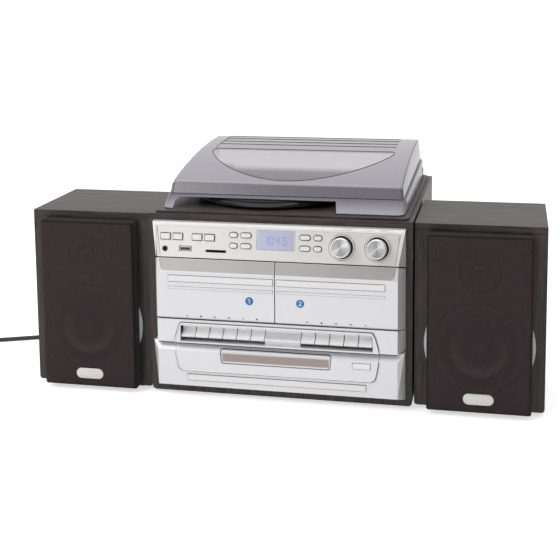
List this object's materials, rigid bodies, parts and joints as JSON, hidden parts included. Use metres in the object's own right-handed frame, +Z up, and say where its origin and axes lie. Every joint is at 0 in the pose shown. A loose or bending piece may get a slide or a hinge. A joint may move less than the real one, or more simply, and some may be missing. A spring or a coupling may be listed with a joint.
{
  "type": "stereo music centre",
  "caption": "Wood-effect hi-fi cabinet with record deck, tape decks with piano keys, disc tray and radio behind a silver front, and two free-standing loudspeakers.",
  "frame": {"origin": "on the ground plane under the middle of the box round the cabinet and the loudspeakers, the mains lead left out", "axes": "+X to the right along the row of the three cases, +Y from the front to the back, +Z up; the front faces -Y"},
  "size_m": [0.9109, 0.4835, 0.2985],
  "materials": {
    "wood": "woodgrain foil on board",
    "silver": "fine silver paint on plastic",
    "silver_warm": "brushed silver foil on plastic",
    "spun": "spun",
    "lcd": "clear",
    "black": "fine grain",
    "gloss_black": "polished",
    "tray": "satin",
    "smoked": "smoked, translucent",
    "cloth": "open weave",
    "cone": "paper cone",
    "steel": "plain",
    "brass": "turned",
    "rubber": "matte",
    "board": "hardboard"
  },
  "bodies": {
    "cabinet_body": {"cabinet": "wood", "rear_panel": "board", "control_panel": "silver", "display_window": "lcd", "front_sockets": "black", "key_panel": "silver", "cd_fascia": "silver", "cassette_bay": "black", "cd_mechanism": "steel", "power_transformer": "steel", "turntable_deck": "board", "platter_motor": "steel", "drive_belt": "rubber", "tonearm_base": "black", "cover_hinges": "black", "rubber_feet": "rubber", "speaker_cabinets": "wood", "speaker_grilles": "cloth", "woofer_rings": "spun", "speaker_drivers": "cone", "cord_gland": "rubber", "mains_cord": "rubber", "cord_coil": "rubber", "mains_plug": "rubber"},
    "cover": {"dust_cover": "smoked"},
    "platter": {"platter": "gloss_black", "platter_mat": "rubber"},
    "pulley": {"motor_pulley": "brass"},
    "arm_pivot": {"tonearm_pivot": "black"},
    "arm": {"tonearm": "silver"},
    "speed_lever": {"speed_switch": "black"},
    "volume_knob": {"volume_knob": "spun"},
    "tuning_knob": {"tuning_knob": "spun"},
    "function_key_1": {"function_key_1": "silver"},
    "function_key_2": {"function_key_2": "silver"},
    "function_key_3": {"function_key_3": "silver"},
    "function_key_4": {"function_key_4": "silver"},
    "button_1": {"button_1": "silver"},
    "button_2": {"button_2": "silver"},
    "button_3": {"button_3": "silver"},
    "button_4": {"button_4": "silver"},
    "button_5": {"button_5": "silver"},
    "button_6": {"button_6": "silver"},
    "button_7": {"button_7": "silver"},
    "button_8": {"button_8": "silver"},
    "cd_open_button": {"cd_open_button": "silver"},
    "cassette_door_left": {"cassette_door_left": "silver_warm"},
    "cassette_door_right": {"cassette_door_right": "silver_warm"},
    "key_1": {"key_1": "silver"},
    "key_2": {"key_2": "silver"},
    "key_3": {"key_3": "silver"},
    "key_4": {"key_4": "silver"},
    "key_5": {"key_5": "silver"},
    "key_6": {"key_6": "silver"},
    "key_7": {"key_7": "silver"},
    "key_8": {"key_8": "silver"},
    "key_9": {"key_9": "silver"},
    "key_10": {"key_10": "silver"},
    "key_11": {"key_11": "silver"},
    "cd_tray": {"cd_tray": "tray"}
  },
  "joints": [
    {"name": "cover_hinge", "type": "hinge", "parent": "cabinet_body", "child": "cover", "pos_m": [0, 0.17027, 0.249], "axis": [-1, 0, 0], "range_deg": [0, 70]},
    {"name": "platter_spin", "type": "hinge", "parent": "cabinet_body", "child": "platter", "pos_m": [-0.032, -0.01523, 0.244], "axis": [0, 0, 1], "continuous": true},
    {"name": "pulley_spin", "type": "hinge", "parent": "cabinet_body", "child": "pulley", "pos_m": [-0.078, 0.05877, 0.242], "axis": [0, 0, 1], "continuous": true},
    {"name": "arm_swing", "type": "hinge", "parent": "cabinet_body", "child": "arm_pivot", "pos_m": [0.126, 0.10577, 0.2626], "axis": [0, 0, -1], "range_deg": [0, 38]},
    {"name": "arm_lift", "type": "hinge", "parent": "arm_pivot", "child": "arm", "pos_m": [0.126, 0.10577, 0.2626], "axis": [-1, 0, 0], "range_deg": [0, 3]},
    {"name": "speed_slide", "type": "slide", "parent": "cabinet_body", "child": "speed_lever", "axis": [1, 0, 0], "range_m": [0, 0.011]},
    {"name": "volume_turn", "type": "hinge", "parent": "cabinet_body", "child": "volume_knob", "pos_m": [0.128, -0.16061, 0.208], "axis": [0, -0.9855, 0.1699], "range_deg": [-150, 150]},
    {"name": "tuning_turn", "type": "hinge", "parent": "cabinet_body", "child": "tuning_knob", "pos_m": [0.0835, -0.16061, 0.208], "axis": [0, -0.9855, 0.1699], "continuous": true},
    {"name": "function_key_1_press", "type": "slide", "parent": "cabinet_body", "child": "function_key_1", "axis": [0, 0.9855, -0.1699], "range_m": [0, 0.0012], "stiffness_N_per_m": 400, "springref_m": -0.0005},
    {"name": "function_key_2_press", "type": "slide", "parent": "cabinet_body", "child": "function_key_2", "axis": [0, 0.9855, -0.1699], "range_m": [0, 0.0012], "stiffness_N_per_m": 400, "springref_m": -0.0005},
    {"name": "function_key_3_press", "type": "slide", "parent": "cabinet_body", "child": "function_key_3", "axis": [0, 0.9855, -0.1699], "range_m": [0, 0.0012], "stiffness_N_per_m": 400, "springref_m": -0.0005},
    {"name": "function_key_4_press", "type": "slide", "parent": "cabinet_body", "child": "function_key_4", "axis": [0, 0.9855, -0.1699], "range_m": [0, 0.0012], "stiffness_N_per_m": 400, "springref_m": -0.0005},
    {"name": "button_1_press", "type": "slide", "parent": "cabinet_body", "child": "button_1", "axis": [0, 0.9855, -0.1699], "range_m": [0, 0.0012], "stiffness_N_per_m": 400, "springref_m": -0.0005},
    {"name": "button_2_press", "type": "slide", "parent": "cabinet_body", "child": "button_2", "axis": [0, 0.9855, -0.1699], "range_m": [0, 0.0012], "stiffness_N_per_m": 400, "springref_m": -0.0005},
    {"name": "button_3_press", "type": "slide", "parent": "cabinet_body", "child": "button_3", "axis": [0, 0.9855, -0.1699], "range_m": [0, 0.0012], "stiffness_N_per_m": 400, "springref_m": -0.0005},
    {"name": "button_4_press", "type": "slide", "parent": "cabinet_body", "child": "button_4", "axis": [0, 0.9855, -0.1699], "range_m": [0, 0.0012], "stiffness_N_per_m": 400, "springref_m": -0.0005},
    {"name": "button_5_press", "type": "slide", "parent": "cabinet_body", "child": "button_5", "axis": [0, 0.9855, -0.1699], "range_m": [0, 0.0012], "stiffness_N_per_m": 400, "springref_m": -0.0005},
    {"name": "button_6_press", "type": "slide", "parent": "cabinet_body", "child": "button_6", "axis": [0, 0.9855, -0.1699], "range_m": [0, 0.0012], "stiffness_N_per_m": 400, "springref_m": -0.0005},
    {"name": "button_7_press", "type": "slide", "parent": "cabinet_body", "child": "button_7", "axis": [0, 0.9855, -0.1699], "range_m": [0, 0.0012], "stiffness_N_per_m": 400, "springref_m": -0.0005},
    {"name": "button_8_press", "type": "slide", "parent": "cabinet_body", "child": "button_8", "axis": [0, 0.9855, -0.1699], "range_m": [0, 0.0012], "stiffness_N_per_m": 400, "springref_m": -0.0005},
    {"name": "cd_open_press", "type": "slide", "parent": "cabinet_body", "child": "cd_open_button", "axis": [0, 1, 0], "range_m": [0, 0.0012], "stiffness_N_per_m": 400, "springref_m": -0.0005},
    {"name": "cassette_door_left_hinge", "type": "hinge", "parent": "cabinet_body", "child": "cassette_door_left", "pos_m": [0, -0.16593, 0.1121], "axis": [1, 0, 0], "range_deg": [0, 35]},
    {"name": "cassette_door_right_hinge", "type": "hinge", "parent": "cabinet_body", "child": "cassette_door_right", "pos_m": [0, -0.16593, 0.1121], "axis": [1, 0, 0], "range_deg": [0, 35]},
    {"name": "key_1_press", "type": "hinge", "parent": "cabinet_body", "child": "key_1", "pos_m": [0, -0.13523, 0.0957], "axis": [1, 0, 0], "range_deg": [0, 6], "stiffness_Nm_per_rad": 0.3, "springref_deg": -2.86},
    {"name": "key_2_press", "type": "hinge", "parent": "cabinet_body", "child": "key_2", "pos_m": [0, -0.13523, 0.0957], "axis": [1, 0, 0], "range_deg": [0, 6], "stiffness_Nm_per_rad": 0.3, "springref_deg": -2.86},
    {"name": "key_3_press", "type": "hinge", "parent": "cabinet_body", "child": "key_3", "pos_m": [0, -0.13523, 0.0957], "axis": [1, 0, 0], "range_deg": [0, 6], "stiffness_Nm_per_rad": 0.3, "springref_deg": -2.86},
    {"name": "key_4_press", "type": "hinge", "parent": "cabinet_body", "child": "key_4", "pos_m": [0, -0.13523, 0.0957], "axis": [1, 0, 0], "range_deg": [0, 6], "stiffness_Nm_per_rad": 0.3, "springref_deg": -2.86},
    {"name": "key_5_press", "type": "hinge", "parent": "cabinet_body", "child": "key_5", "pos_m": [0, -0.13523, 0.0957], "axis": [1, 0, 0], "range_deg": [0, 6], "stiffness_Nm_per_rad": 0.3, "springref_deg": -2.86},
    {"name": "key_6_press", "type": "hinge", "parent": "cabinet_body", "child": "key_6", "pos_m": [0, -0.13523, 0.0957], "axis": [1, 0, 0], "range_deg": [0, 6], "stiffness_Nm_per_rad": 0.3, "springref_deg": -2.86},
    {"name": "key_7_press", "type": "hinge", "parent": "cabinet_body", "child": "key_7", "pos_m": [0, -0.13523, 0.0957], "axis": [1, 0, 0], "range_deg": [0, 6], "stiffness_Nm_per_rad": 0.3, "springref_deg": -2.86},
    {"name": "key_8_press", "type": "hinge", "parent": "cabinet_body", "child": "key_8", "pos_m": [0, -0.13523, 0.0957], "axis": [1, 0, 0], "range_deg": [0, 6], "stiffness_Nm_per_rad": 0.3, "springref_deg": -2.86},
    {"name": "key_9_press", "type": "hinge", "parent": "cabinet_body", "child": "key_9", "pos_m": [0, -0.13523, 0.0957], "axis": [1, 0, 0], "range_deg": [0, 6], "stiffness_Nm_per_rad": 0.3, "springref_deg": -2.86},
    {"name": "key_10_press", "type": "hinge", "parent": "cabinet_body", "child": "key_10", "pos_m": [0, -0.13523, 0.0957], "axis": [1, 0, 0], "range_deg": [0, 6], "stiffness_Nm_per_rad": 0.3, "springref_deg": -2.86},
    {"name": "key_11_press", "type": "hinge", "parent": "cabinet_body", "child": "key_11", "pos_m": [0, -0.13523, 0.0957], "axis": [1, 0, 0], "range_deg": [0, 6], "stiffness_Nm_per_rad": 0.3, "springref_deg": -2.86},
    {"name": "tray_slide", "type": "slide", "parent": "cabinet_body", "child": "cd_tray", "axis": [0, -1, 0], "range_m": [0, 0.132]}
  ],
  "couplings": [
    {"joint": "pulley_spin", "follows": "platter_spin", "ratio": 10}
  ]
}
